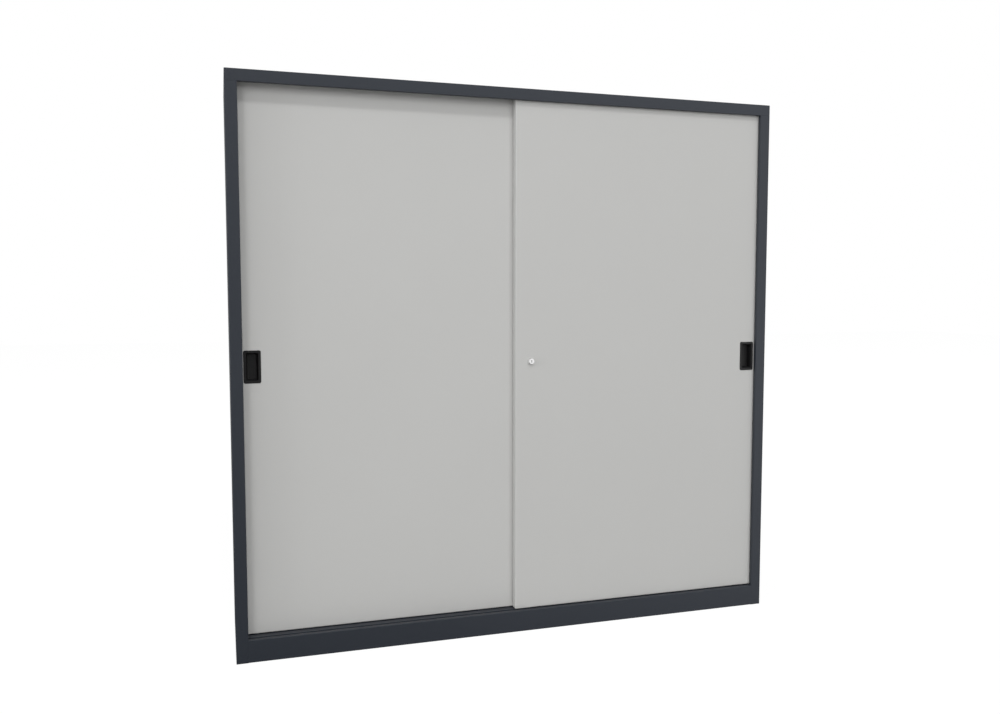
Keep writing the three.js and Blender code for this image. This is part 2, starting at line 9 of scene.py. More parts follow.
# %% Load the frame
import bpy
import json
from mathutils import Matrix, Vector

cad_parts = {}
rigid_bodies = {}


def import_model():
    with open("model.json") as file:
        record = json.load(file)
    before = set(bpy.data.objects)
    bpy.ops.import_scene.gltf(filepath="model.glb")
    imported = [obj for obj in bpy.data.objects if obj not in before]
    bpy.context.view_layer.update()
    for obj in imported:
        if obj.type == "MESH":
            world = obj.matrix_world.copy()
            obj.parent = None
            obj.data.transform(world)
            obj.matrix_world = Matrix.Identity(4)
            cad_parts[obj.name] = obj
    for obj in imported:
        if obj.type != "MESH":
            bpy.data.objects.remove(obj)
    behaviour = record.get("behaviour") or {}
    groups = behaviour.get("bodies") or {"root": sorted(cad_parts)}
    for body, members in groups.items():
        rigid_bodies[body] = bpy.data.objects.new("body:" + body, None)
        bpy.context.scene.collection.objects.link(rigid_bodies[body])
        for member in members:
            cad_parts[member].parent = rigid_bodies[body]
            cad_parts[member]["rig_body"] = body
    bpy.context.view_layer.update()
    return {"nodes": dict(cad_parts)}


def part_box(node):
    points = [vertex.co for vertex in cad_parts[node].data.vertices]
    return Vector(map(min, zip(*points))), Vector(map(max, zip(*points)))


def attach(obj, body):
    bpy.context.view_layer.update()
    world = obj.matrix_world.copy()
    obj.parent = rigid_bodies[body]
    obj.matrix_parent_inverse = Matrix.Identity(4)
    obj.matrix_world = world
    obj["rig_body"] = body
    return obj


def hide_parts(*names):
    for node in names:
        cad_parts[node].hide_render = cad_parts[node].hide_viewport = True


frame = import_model()

import json
import math

import bmesh
import bpy
from mathutils import Matrix, Vector

X, Y, Z = range(3)
doors = ("front_door", "rear_door")
rows = ("front", "rear")
sides = ("left", "right")
nodes = frame["nodes"]

# %% [markdown]
# ## The camera
# The cabinet's four front corners in the photograph fix where the camera stood: three metres in
# front, a metre to the left of the middle and at chest height. A wide lens makes the left edge
# look taller than the right one, so the lens is part of the likeness and not a matter of taste.

# %% Camera
camera_place = (-1.0193, -3.2651, 1.2392)
camera_turn_right = math.radians(17.141)
camera_tilt_down = math.radians(4.160)
camera_lens = 32.35
camera_sensor = 36.0
camera_reach = 100.0

camera_data = bpy.data.cameras.new("camera")
camera_data.lens = camera_lens
camera_data.sensor_width = camera_sensor
camera_data.clip_end = camera_reach
camera = bpy.data.objects.new("camera", camera_data)
camera.location = camera_place
camera.rotation_euler = (math.pi / 2 - camera_tilt_down, 0.0, -camera_turn_right)
bpy.context.scene.collection.objects.link(camera)
bpy.context.scene.camera = camera
bpy.context.scene.view_settings.view_transform = "Standard"
print("camera at", camera_place, "with a lens of", camera_lens, "mm")

# %% [markdown]
# ## Sums that make nodes
# A material is a graph of nodes, and most of its nodes are sums. They are easier to read as sums,
# so one small class wraps a socket and lets Python's operators add the Math nodes. Every other
# node comes from its one method, which sets the node's settings first and its sockets after.

# %% A wire that can be added and multiplied
class Wire:
    """A socket in a node tree, on which sums and products can be written."""

    def __init__(self, tree, socket=None):
        self.tree = tree
        self.socket = socket

    def node(self, kind, sockets=None, output=0, **settings):
        """Adds a node and returns the wire that comes out of it."""
        made = self.tree.nodes.new("ShaderNode" + kind)
        for key, value in settings.items():
            setattr(made, key, value)
        for key, value in (sockets or {}).items():
            if isinstance(value, Wire):
                self.tree.links.new(value.socket, made.inputs[key])
            else:
                made.inputs[key].default_value = value
        return Wire(self.tree, made.outputs[output] if made.outputs else None)

    def beside(self, output):
        """The wire from another output of the same node."""
        return Wire(self.tree, self.socket.node.outputs[output])

    def maths(self, operation, first, second):
        return self.node("Math", {0: first, 1: second}, operation=operation)

    def size(self):
        return self.node("Math", {0: self}, operation="ABSOLUTE")

    def __add__(self, other):
        return self.maths("ADD", self, other)

    def __sub__(self, other):
        return self.maths("SUBTRACT", self, other)

    def __rsub__(self, other):
        return self.maths("SUBTRACT", other, self)

    def __mul__(self, other):
        return self.maths("MULTIPLY", self, other)

    __radd__ = __add__
    __rmul__ = __mul__


def held(wire, low, high):
    """A value kept between two numbers."""
    return wire.maths("MINIMUM", wire.maths("MAXIMUM", wire, low), high)


def blended(factor, first, second):
    """A colour between two colours."""
    return factor.node("Mix", {0: factor, 6: first, 7: second}, output=2, data_type="RGBA")


print("wires are ready")

# %% [markdown]
# ## The studio
# The photograph has a pure white background and a soft light. The white comes from the rays that
# the camera sees, and the light on the object is set apart from it: a dim sky, and lamps that
# throw the photograph's shadows. The sky is brighter on the left, because the front door's left
# return is bright there and its shade on the rear door is weak. Mirror rays see the white too, but
# not in front: there stood the camera in a darker room, as the satin paint and the black cups of
# the photograph show. So the sky and the floor that mirrors see are dark ahead and grow white to
# the sides.

# %% Sky and white background
sky_level = 0.42
sky_to_left = 0.75
mirror_middle = -0.15
mirror_ahead = -0.30
mirror_to_sides = 2.40
mirror_to_top = 1.40
mirror_least = 0.02
mirror_most = 1.0
white = (1.0, 1.0, 1.0, 1.0)


def mirror_ray(camera_ray):
    """A wire that is 1 for rays off a mirror or through glass, from the camera ray's own node."""
    glossy, passed = camera_ray.beside("Is Glossy Ray"), camera_ray.beside("Is Transmission Ray")
    return glossy.maths("MAXIMUM", glossy, passed)


world = bpy.data.worlds.new("studio")
world.use_nodes = True
bpy.context.scene.world = world
world.node_tree.nodes.clear()
air = Wire(world.node_tree)
rays = air.node("LightPath", output="Is Camera Ray")
mirror_rays = mirror_ray(rays)
towards = air.node("SeparateXYZ", {0: air.node("TexCoord", output="Generated")}, output="X")
aside = (towards - mirror_middle).size()
mirror_level = mirror_ahead + mirror_to_sides * aside + mirror_to_top * towards.beside("Z")
mirror_level = held(mirror_level, mirror_least, mirror_most)
lit_level = sky_level * (1 - sky_to_left * towards)
level = rays + (1 - rays) * (mirror_rays * mirror_level + (1 - mirror_rays) * lit_level)
backdrop = air.node("Background", {"Color": white, "Strength": level})
air.node("OutputWorld", {"Surface": backdrop})
print("sky level", sky_level, "for the object, 1 for the camera")

# %% Floor
floor_half = 20.0
floor_whiteness = 0.86
floor_glow = 1.09
floor_middle = -1.35
floor_to_sides = 0.20
mottle_scale = 6.0
mottle_dark = (0.66, 0.66, 0.66, 1.0)
mottle_pale = (0.70, 0.70, 0.70, 1.0)
black = (0.0, 0.0, 0.0, 1.0)

floor_paint = bpy.data.materials.new("floor")
floor_paint.use_nodes = True
floor_paint.node_tree.nodes.clear()
ground = Wire(floor_paint.node_tree)
seen = ground.node("LightPath", output="Is Camera Ray")
mirrored = mirror_ray(seen)
spot = ground.node("TexCoord", output="Object")
along_front = ground.node("SeparateXYZ", {0: spot}, output="X")
aside = (along_front - floor_middle).size()
in_mirror = held(floor_to_sides * aside, mirror_least, mirror_most)
mottle = ground.node("TexNoise", {"Vector": spot, "Scale": mottle_scale})
tone = blended(mottle, mottle_dark, mottle_pale)
matt = ground.node("BsdfDiffuse", {"Color": tone, "Roughness": 0.5})
glow = ground.node("Emission", {"Color": white, "Strength": floor_glow})
dark = ground.node("Emission", {"Color": black, "Strength": 0.0})
to_camera = ground.node("MixShader", {0: floor_whiteness * seen, 1: matt, 2: glow})
to_mirror = ground.node("MixShader", {0: in_mirror, 1: dark, 2: glow})
surface = ground.node("MixShader", {0: mirrored, 1: to_camera, 2: to_mirror})
ground.node("OutputMaterial", {"Surface": surface})

bpy.ops.object.select_all(action="DESELECT")
bpy.ops.mesh.primitive_plane_add(size=2 * floor_half)
floor = bpy.context.object
floor.name = "floor"
floor.data.materials.append(floor_paint)
print("floor of", 2 * floor_half, "m")

# %% [markdown]
# ## The lamps
# The shadows on the doors tell where the light came from. Under the header lies a crisp edge, so
# a small lamp stood about 47 degrees high in front. Above that edge the shade fades evenly, which
# takes tall soft lamps that reach down to the horizon: one to the left, whose edge shows beside
# the left stile, and one to the right of the middle. The front door's return is bright, so a low
# lamp stood far to the left.

# %% Lamps
aim = Vector((0.0, -0.2, 1.05))
lamp_distance = 24.0


def lamp(name, direction, width, height, share):
    """A lamp that looks at the cabinet from a direction, with its size in metres. Its share is the
    part of a front face's light that it gives, where 1 shows a colour as it is written."""
    way = Vector(direction).normalized()
    light = bpy.data.lights.new(name, "AREA")
    light.shape = "RECTANGLE"
    light.size = width
    light.size_y = height
    light.energy = share * (math.pi * lamp_distance) ** 2 / abs(way.y)
    stand = bpy.data.objects.new(name, light)
    stand.location = aim + lamp_distance * way
    stand.rotation_euler = (-way).to_track_quat("-Z", "Y").to_euler()
    stand.visible_glossy = False
    bpy.context.scene.collection.objects.link(stand)
    print(f"{name}: {light.energy:.0f} W for {share:.1%} of the light")


lamp("left_lamp", (-0.49, -1.0, 0.28), width=6.0, height=11.0, share=0.145)
lamp("right_lamp", (0.25, -1.0, 0.28), width=12.0, height=11.0, share=0.20)
lamp("side_lamp", (-4.5, -1.0, 0.60), width=7.0, height=6.0, share=0.055)
lamp("small_lamp", (-0.06, -1.0, 1.13), width=3.0, height=3.0, share=0.18)

# %% [markdown]
# ## Finishes
# Each finish is written once, with the detail that the real one has at its real scale: the orange
# peel of powder coat, the crystals of zinc, the drawn lines of an extrusion, the spark grain of a
# moulding. All patterns read Object coordinates in metres, so a scale of 1000 means a millimetre.

# %% Helpers for finishes
finishes = {}


def painted(name):
    """Starts a material and returns a wire with the place on the object."""
    material = bpy.data.materials.new(name)
    material.use_nodes = True
    material.node_tree.nodes.clear()
    finishes[name] = material
    return Wire(material.node_tree).node("TexCoord", output="Object")


def grain(place, scale, detail=2.0, stretch=(1.0, 1.0, 1.0)):
    """Noise from 0 to 1, with its cells stretched along an axis where its share is small."""
    where = place.node("Mapping", {"Vector": place, "Scale": stretch})
    return place.node("TexNoise", {"Vector": where, "Scale": scale, "Detail": detail})


def coated(place, colour, roughness, height, depth, **constants):
    """The shader that all finishes share. The height is that of the bumps, from 0 to 1, and the
    depth is how deep they are. Constants are sockets that stay the same all over."""
    normal = place.node("Bump", {"Height": height, "Distance": depth, "Strength": 1.0})
    sockets = {"Base Color": colour, "Roughness": roughness, "Normal": normal}
    sockets.update({key.replace("_", " "): value for key, value in constants.items()})
    shader = place.node("BsdfPrincipled", sockets)
    place.node("OutputMaterial", {"Surface": shader})


def shade(colour, factor):
    """A colour, as four numbers, made darker or lighter."""
    return tuple(min(1.0, channel * factor) for channel in colour) + (1.0,)


print("finish helpers are ready")

# %% [markdown]
# ### Powder coat
# Powder melts in an oven to a skin with a fine orange peel, about a millimetre from crest to crest
# and a few hundredths high. It is matt, so its gloss is spread wide, and large faces vary a little
# in gloss where hands and cloths have passed. Both paints are one function with two colours.

# %% Powder coat
anthracite = (0.0193, 0.0237, 0.0322)
light_grey = (0.493, 0.493, 0.483)
peel_scale = 820.0
peel_depth = 0.00004
cloud_scale = 2.2
cloud_share = 0.7
cloud_gloss = 0.05
wipe_scale = 26.0
wipe_stretch = (1.0, 1.0, 0.12)
fleck_scale = 2600.0
fine_gloss = 0.03
paint_darkest = 0.975
paint_palest = 1.025


def powder_coat(name, colour, roughness, specular):
    """A matt paint with an orange peel."""
    place = painted(name)
    peel = grain(place, peel_scale)
    cloud = grain(place, cloud_scale, detail=3.0)
    wiped = grain(place, wipe_scale, detail=4.0, stretch=wipe_stretch)
    fleck = grain(place, fleck_scale, detail=1.0)
    mix = cloud_share * cloud + (1 - cloud_share) * fleck
    tone = blended(mix, shade(colour, paint_darkest), shade(colour, paint_palest))
    gloss = roughness - cloud_gloss + cloud_gloss * cloud + fine_gloss * wiped + fine_gloss * peel
    coated(place, tone, gloss, peel, peel_depth, Specular_IOR_Level=specular)


powder_coat("carcass_paint", anthracite, roughness=0.50, specular=0.59)
powder_coat("door_paint", light_grey, roughness=0.55, specular=0.35)
print("powder coats:", "anthracite", anthracite, "light grey", light_grey)

# %% [markdown]
# ### Metals
# Zinc plating is a pale metal with faint crystals and cloudy patches. The top track is extruded
# aluminium, so its die leaves fine lines along its length. The lock's satin chrome is part mirror:
# its brushing and fine scratches spread the rest of its light, so it stays bright where it mirrors
# something dark.

# %% Zinc, aluminium and chrome
zinc = (0.60, 0.61, 0.62)
aluminium = (0.70, 0.71, 0.72)
chrome = (0.95, 0.95, 0.95)
crystal_scale = 170.0
patch_scale = 14.0
zinc_bump_scale = 900.0
die_line_scales = (2.0, 2400.0, 2400.0)
scratch_scales = (5200.0, 5200.0, 900.0)


def metal(place, colour, mix, darkest, palest, roughness, height, depth, metallic=1.0):
    """A metal whose tone goes from its darkest to its palest along a mix from 0 to 1."""
    tone = blended(mix, shade(colour, darkest), shade(colour, palest))
    coated(place, tone, roughness, height, depth, Metallic=metallic)


place = painted("zinc_steel")
crystals = place.node("TexVoronoi", {"Vector": place, "Scale": crystal_scale}, output="Color")
crystal = place.node("SeparateColor", {0: crystals})
patches = grain(place, patch_scale, detail=3.0)
metal(place, zinc, mix=0.5 * crystal + 0.5 * patches, darkest=0.86, palest=1.10,
      roughness=0.30 + 0.12 * crystal + 0.10 * patches,
      height=grain(place, zinc_bump_scale), depth=0.00002)

place = painted("aluminium_rail")
lines = grain(place, 1.0, detail=3.0, stretch=die_line_scales)
metal(place, aluminium, mix=lines, darkest=0.92, palest=1.05,
      roughness=0.26 + 0.14 * lines, height=lines, depth=0.00001)

place = painted("chrome")
scratches = grain(place, 1.0, detail=4.0, stretch=scratch_scales)
metal(place, chrome, mix=scratches, darkest=0.98, palest=1.02,
      roughness=0.10 + 0.08 * scratches, height=scratches, depth=0.000002, metallic=0.6)
print("metals:", [name for name in finishes if "paint" not in name])

# %% [markdown]
# ### Plastics and rubber
# The cups and guides are moulded in a tool with a spark eroded grain, which spreads their gloss.
# The nylon of the rollers is dark grey and a little waxy, because no pale roller shows in the gap
# below the doors. The rubber stops are nearly black and dull.

# %% Plastic, nylon and rubber
cup_black = (0.0090, 0.0090, 0.0094)
nylon_grey = (0.022, 0.022, 0.024)
rubber_black = (0.011, 0.011, 0.011)
haze_scale = 30.0
haze_darkest = 0.9
haze_palest = 1.12
fine_to_cells = 2.4
fine_height = 0.5


def moulded(name, colour, roughness, scale, depth, specular):
    """A plastic with the grain of its tool. The scale is that of the grain's cells."""
    place = painted(name)
    cells = place.node("TexVoronoi", {"Vector": place, "Scale": scale}, output="Distance")
    fine = grain(place, fine_to_cells * scale)
    haze = grain(place, haze_scale, detail=3.0)
    tone = blended(haze, shade(colour, haze_darkest), shade(colour, haze_palest))
    gloss = roughness + 0.08 * haze + 0.05 * fine
    coated(place, tone, gloss, cells + fine_height * fine, depth, Specular_IOR_Level=specular)


moulded("black_plastic", cup_black, roughness=0.40, scale=1500.0, depth=0.00003, specular=0.38)
moulded("nylon", nylon_grey, roughness=0.42, scale=900.0, depth=0.00001, specular=0.45)
moulded("rubber", rubber_black, roughness=0.78, scale=1100.0, depth=0.00003, specular=0.3)
print("finishes:", sorted(finishes))

# %% [markdown]
# ## Tools of the bench
# Every new piece starts as a primitive that is added at its size and place. Then edit mode shapes
# it: faces and edges are picked by a test on their place or normal, as a hand would click them,
# and an operator acts on them. These helpers keep those steps short.

# %% Starting a piece
nothing = 1e-6
parallel = 0.999
fold_angle = math.radians(30)
sharp_angle = math.radians(35)


def deselect():
    """Nothing is left selected, because an operator acts on all that is."""
    if bpy.context.mode != "OBJECT":
        bpy.ops.object.mode_set(mode="OBJECT")
    bpy.ops.object.select_all(action="DESELECT")


def hold(*pieces):
    """Selects these pieces and nothing else. The last one is the active one."""
    deselect()
    for piece in pieces:
        piece.select_set(True)
    bpy.context.view_layer.objects.active = pieces[-1]


def opened(name, size=(1.0, 1.0, 1.0)):
    """Names the primitive just added, gives it its size and opens it in edit mode."""
    piece = bpy.context.object
    piece.name = piece.data.name = name
    piece.scale = size
    bpy.ops.object.transform_apply(location=True, rotation=True, scale=True)
    bpy.ops.object.mode_set(mode="EDIT")
    return piece


def block(name, low, high):
    """A cube from its lowest to its highest corner, open in edit mode."""
    deselect()
    low, high = Vector(low), Vector(high)
    bpy.ops.mesh.primitive_cube_add(size=1.0, location=(low + high) / 2)
    return opened(name, high - low)


print("a piece starts from a primitive")

# %% Picking faces and edges
parts_of = {"FACE": "faces", "EDGE": "edges"}


def pick(kind, test):
    """Selects the faces or edges for which the test is true."""
    bpy.ops.mesh.select_mode(type=kind)
    bpy.ops.mesh.select_all(action="DESELECT")
    mesh = bmesh.from_edit_mesh(bpy.context.object.data)
    for item in getattr(mesh, parts_of[kind]):
        item.select_set(bool(test(item)))
    bmesh.update_edit_mesh(bpy.context.object.data)


def middle(item):
    """The middle of a face or an edge."""
    return sum((corner.co for corner in item.verts), Vector()) / len(item.verts)


def near(value, wanted):
    """Whether two lengths are the same."""
    return abs(value - wanted) < nothing


def along(axis, least=parallel):
    """A test for edges that run along an axis, or nearly so."""
    return lambda edge: abs((edge.verts[1].co - edge.verts[0].co).normalized()[axis]) > least


def facing(axis, sign):
    """A test for faces that look along an axis."""
    return lambda face: face.normal[axis] * sign > parallel


def folds(edge):
    """A test for edges where two faces meet at an angle."""
    return edge.calc_face_angle(0.0) > fold_angle


print("a test picks what the next operator acts on")

# %% Shaping
def rounded(radius, steps=4):
    """Rounds the selected edges."""
    bpy.ops.mesh.bevel(offset=radius, offset_type="OFFSET", segments=steps, affect="EDGES")


def pushed(way):
    """Extrudes what is selected."""
    bpy.ops.mesh.extrude_region_move(TRANSFORM_OT_translate={"value": way})


def copied(piece, name, move, about_face=False):
    """A copy with a mesh of its own, moved to its place and turned half round if asked."""
    hold(piece)
    bpy.ops.object.duplicate(linked=False)
    copy = bpy.context.object
    copy.name = copy.data.name = name
    if about_face:
        bpy.ops.object.mode_set(mode="EDIT")
        bpy.ops.mesh.select_all(action="SELECT")
        bpy.ops.transform.rotate(value=math.pi, orient_axis="Z", center_override=(0.0, 0.0, 0.0))
        bpy.ops.object.mode_set(mode="OBJECT")
    bpy.ops.transform.translate(value=move)
    bpy.ops.object.transform_apply(location=True, rotation=True, scale=True)
    return copy


def merged(name, *pieces):
    """Several pieces joined into one."""
    hold(*pieces)
    bpy.ops.object.join()
    piece = bpy.context.object
    piece.name = piece.data.name = name
    return piece


def modified(piece, kind, **settings):
    """Adds a modifier and applies it."""
    if bpy.context.mode != "OBJECT":
        bpy.ops.object.mode_set(mode="OBJECT")
    modifier = piece.modifiers.new(kind, kind)
    for key, value in settings.items():
        setattr(modifier, key, value)
    bpy.ops.object.modifier_apply(modifier=kind)


def thickened(piece, thickness):
    """Gives a folded surface its thickness, on the side that its faces don't look to."""
    modified(piece, "SOLIDIFY", thickness=thickness, offset=-1.0, use_even_offset=True)


def cut_by(piece, cutter):
    """Takes a cutter's volume out of a piece and throws the cutter away."""
    hold(piece)
    modified(piece, "BOOLEAN", operation="DIFFERENCE", solver="EXACT", object=cutter)
    bpy.data.objects.remove(cutter)


print("shaping is done by operators and by modifiers that are applied")

# %% [markdown]
# ### Finishing a piece
# A finished piece has curves that shade smoothly, one of the finishes, and a body that it moves
# with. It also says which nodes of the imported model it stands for, so that those no longer show.


def smoothed(piece):
    """Curves shade smoothly while flat faces stay flat."""
    bpy.ops.object.shade_smooth_by_angle(angle=sharp_angle)
    modified(piece, "WEIGHTED_NORMAL", mode="FACE_AREA", weight=50, keep_sharp=True)


def complete(piece, slot, *replaced, body=None):
    """Smooths a piece, paints it, ties it to its body and lets it stand for its CAD nodes."""
    hold(piece)
    smoothed(piece)
    piece.data.materials.clear()
    piece.data.materials.append(finishes[slot])
    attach(piece, body or nodes[replaced[0]]["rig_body"])
    if replaced:
        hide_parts(*replaced)


def spread(piece, slot, names):
    """Gives every node a copy of a piece that stands at the first node's place. The names say
    what the copy for each node is called."""
    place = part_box(next(iter(names)))[0]
    for node, name in names.items():
        complete(copied(piece, name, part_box(node)[0] - place), slot, node)
    bpy.data.objects.remove(piece)


print("a finished piece is smooth, painted and tied to its body")

# %% [markdown]
# ## Folded sheet
# A press brake folds a flat sheet along straight lines, and every fold is round outside with the
# sheet's thickness less inside. So a folded piece starts as one strip, its far edge is extruded
# leg by leg, the folds are bevelled, and only then does the surface get its thickness.

# %% Folding a sheet
sheet = 0.001
fold_radius = 0.0022
fold_steps = 4


def unit(axis):
    """One metre along an axis."""
    return Vector(float(other == axis) for other in range(3))


def folded(name, line, axis, start, end, thickness=sheet, radius=fold_radius):
    """Folds a sheet along a line of points and runs it along an axis from start to end. The line
    is the outer face, seen along the axis, and the sheet's thickness lies to the left of it."""
    first_axis, second_axis = [other for other in range(3) if other != axis]

    def at(point):
        place = Vector()
        place[first_axis], place[second_axis] = point
        place[axis] = (start + end) / 2
        return place

    leg = at(line[1]) - at(line[0])
    across = leg.normalized()
    turn = Matrix((across, unit(axis), across.cross(unit(axis)))).transposed().to_euler()
    deselect()
    bpy.ops.mesh.primitive_plane_add(size=1.0, location=at(line[0]) + leg / 2, rotation=turn)
    piece = opened(name, (leg.length, end - start, 1.0))
    for here, there in zip(line[1:], line[2:]):
        pick("EDGE", lambda edge: (middle(edge) - at(here)).length < nothing)
        pushed(at(there) - at(here))
    pick("EDGE", folds)
    rounded(radius, fold_steps)
    thickened(piece, thickness)
    return piece


def reflected(line):
    """The same line for the other side of the cabinet."""
    return [(-u, v) for u, v in reversed(line)]


print("sheet of", sheet, "m folds with a radius of", fold_radius, "m")

# %% [markdown]
# ## The side panels
# One sheet makes each side: the wall, the 40 mm stile at the front with a short return behind it,
# and a flange at the rear that holds the back. The left wall is seen edge on in the photograph,
# but the object is looked at from all sides, so both are made in full. The walls reach up into the
# fold of the top cap, as welded ones do, or daylight would show through the joint in an open bay.

# %% Side panels
stile_return = 0.013
rear_flange = 0.025

low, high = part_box("left_side_panel")
front_plane, rear_plane = low.y, high.y
wall_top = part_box("top_panel")[0].z + sheet / 2
side_line = [
    (low.x + rear_flange, rear_plane),
    (low.x, rear_plane),
    (low.x, front_plane),
    (high.x, front_plane),
    (high.x, front_plane + stile_return),
]
for side, line in (("left", side_line), ("right", reflected(side_line))):
    wall = folded(f"side_{side}", line, Z, low.z, wall_top)
    complete(wall, "carcass_paint", f"{side}_side_panel")

# %% [markdown]
# ## The top cap
# The top is a shallow lid. Its front skirt is the header above the doors, and all its skirts turn
# in below. A lid like this is a block whose underside is inset and opened, so the returns get
# their mitred corners for free.

# %% Top cap
cap_return = 0.013
cap_rear_return = 0.025

low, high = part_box("top_panel")
half_area = (high.x - low.x) * (high.y - low.y) / 2
cap = block("top_cap", low, high)
pick("FACE", facing(Z, -1))
bpy.ops.mesh.inset(thickness=cap_return)
pick("EDGE", lambda edge: along(X)(edge) and near(middle(edge).y, high.y - cap_return))
bpy.ops.transform.translate(value=(0.0, cap_return - cap_rear_return, 0.0))
pick("FACE", lambda face: facing(Z, -1)(face) and face.calc_area() > half_area)
bpy.ops.mesh.delete(type="FACE")
pick("EDGE", folds)
rounded(fold_radius, fold_steps)
thickened(cap, sheet)
complete(cap, "carcass_paint", "top_panel")

# %% [markdown]
# ## Plinths and bottom track
# The plinth carries the ledge that shows as a light line below the doors. Behind it, one long
# folded track has a groove for each door's rollers, and its flat parts are the darker ledge that
# is seen in front of the left door.

# %% Plinths
plinth_ledge = 0.017
plinth_lip = 0.017
foot_flange = 0.030
weld_overlap = 0.0014

low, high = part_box("front_plinth")
front_line = [
    (low.y + plinth_ledge, high.z - plinth_lip),
    (low.y + plinth_ledge, high.z),
    (low.y, high.z),
    (low.y, low.z),
    (low.y + foot_flange, low.z),
]
plinth = folded("plinth_front", front_line, X, low.x - weld_overlap, high.x + weld_overlap)
complete(plinth, "carcass_paint", "front_plinth")

low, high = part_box("rear_plinth")
rear_line = [(high.y - foot_flange, low.z), (high.y, low.z), (high.y, high.z)]
complete(folded("plinth_rear", rear_line, X, low.x, high.x), "carcass_paint", "rear_plinth")

# %% Bottom track
track_wall = 0.0015
track_radius = 0.0018
groove_lead = 0.001
groove_width = 0.010
groove_depth = 0.008

low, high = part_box("bottom_track")
groove_floor = high.z - groove_depth
door_faces = [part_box(f"{door}_panel")[0].y for door in doors]
(first, first_end), (second, second_end) = [
    (face - groove_lead, face - groove_lead + groove_width) for face in door_faces]
track_line = [
    (high.y, low.z),
    (high.y, high.z),
    (second_end, high.z),
    (second_end, groove_floor),
    (second, groove_floor),
    (second, high.z),
    (first_end, high.z),
    (first_end, groove_floor),
    (low.y, groove_floor),
    (low.y, low.z),
]
track = folded("track_bottom", track_line, X, low.x, high.x, track_wall, track_radius)
complete(track, "carcass_paint", "bottom_track")

# %% [markdown]
# ## Back and partition
# Two pans close the back and meet behind the hollow centre partition. From behind they are the
# largest faces of the cabinet, so the seam between them matters there. They stand on the rear
# plinth, so that no light comes in below them.

# %% Back panels and partition
back_flange = 0.012
partition_flange = 0.008

low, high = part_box("back_panel_left")
back_line = [
    (high.x, high.y - back_flange),
    (high.x, high.y),
    (low.x, high.y),
    (low.x, high.y - back_flange),
]
back_low, back_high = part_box("rear_plinth")[1].z, high.z
for side, line in (("left", back_line), ("right", reflected(back_line))):
    back = folded(f"back_{side}", line, Z, back_low, back_high)
    complete(back, "carcass_paint", f"back_panel_{side}")

low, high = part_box("centre_partition")
partition_line = [
    (low.x + partition_flange, high.y),
    (low.x, high.y),
    (low.x, low.y),
    (high.x, low.y),
    (high.x, high.y),
    (high.x - partition_flange, high.y),
]
partition = folded("partition", partition_line, Z, low.z, high.z)
complete(partition, "carcass_paint", "centre_partition")

# %% [markdown]
# ## The shelves
# A shelf is a pan with its edges folded down and in again, and two lugs at each end that drop into
# slots of the uprights. One shelf is modelled, and each of the eight is a copy with its own mesh.

# %% Shelves
shelf_return = 0.012
lug_thick = 0.0035
lug_height = 0.012
lug_reach = 0.0073
lug_root = 0.008
lug_steps = 3
shelf_levels = (1, 2, 3, 4)

low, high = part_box("shelf_left_1")
pan_low, pan_high = low.x + lug_reach, high.x - lug_reach
shelf_line = [
    (high.y - shelf_return, low.z),
    (high.y, low.z),
    (high.y, high.z),
    (low.y, high.z),
    (low.y, low.z),
    (low.y + shelf_return, low.z),
]
under = high.z - sheet
pan = folded("pan", shelf_line, X, pan_low, pan_high)

half_thick = lug_thick / 2
lug = block("lug", (low.x, -half_thick, under - lug_height),
            (pan_low + lug_root, half_thick, under))
pick("EDGE", lambda edge: along(Y)(edge) and near(middle(edge).x, low.x))
rounded(lug_thick, lug_steps)
lugs = []
for row in rows:
    post_low, post_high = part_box(f"upright_left_outer_{row}")
    y = (post_low.y + post_high.y) / 2
    lugs.append(copied(lug, "lug_outer", (0.0, y, 0.0)))
    lugs.append(copied(lug, "lug_inner", (low.x + high.x, y, 0.0), about_face=True))
bpy.data.objects.remove(lug)
shelf = merged("shelf", *lugs, pan)
spread(shelf, "carcass_paint", {
    f"shelf_{bay}_{level}": f"pan_{bay}_{level}" for bay in sides for level in shelf_levels})

# %% [markdown]
# ## The doors
# A door is a pan: a flat face, returns all round and flanges turned in at the back. It starts as a
# block whose back is inset and opened. The folds round its face are bevelled together, so its
# corners come out round as welded and ground ones are. Then the sheet gets its thickness. Both
# doors come from the same press, so one blank is made and copied. Each copy gets its own holes for
# the cup and the rollers, and the front one a hole for the lock.

# %% Cutters for the doors' holes
cup_step = 0.004
cup_corner = 0.004
hole_clearance = 0.0003
slot_clearance = (0.003, 0.0007, 0.0)
overrun = 0.004
fine_steps = 6


def cup_hole(cup_low, cup_high, face):
    """A cutter with round corners for a cup's barrel."""
    inset = cup_step - hole_clearance
    hole = block("cup_hole", (cup_low.x + inset, face - overrun, cup_low.z + inset),
                 (cup_high.x - inset, face + overrun, cup_high.z - inset))
    pick("EDGE", along(Y))
    rounded(cup_corner, fine_steps)
    return hole


def roller_slot(roller, door_low):
    """A cutter for the opening that a roller reaches through."""
    low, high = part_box(roller)
    clear = Vector(slot_clearance)
    return block("roller_slot", Vector((low.x, low.y, door_low.z - overrun)) - clear,
                 Vector((high.x, high.y, door_low.z + 2 * sheet)) + clear)


print("a hole leaves", hole_clearance, "m round what goes through it")

# %% Door pans
door_flange = 0.014
door_radius = 0.004
flange_radius = 0.0015

blank_low, blank_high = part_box("front_door_panel")
blank = block("blank", blank_low, blank_high)
pick("FACE", facing(Y, 1))
bpy.ops.mesh.inset(thickness=door_flange)
bpy.ops.mesh.delete(type="FACE")
pick("EDGE", lambda edge: folds(edge) and middle(edge).y > blank_high.y - nothing)
rounded(flange_radius, fold_steps)
pick("EDGE", lambda edge: folds(edge) and middle(edge).y < blank_high.y - 2 * flange_radius)
rounded(door_radius, fold_steps)
thickened(blank, sheet)


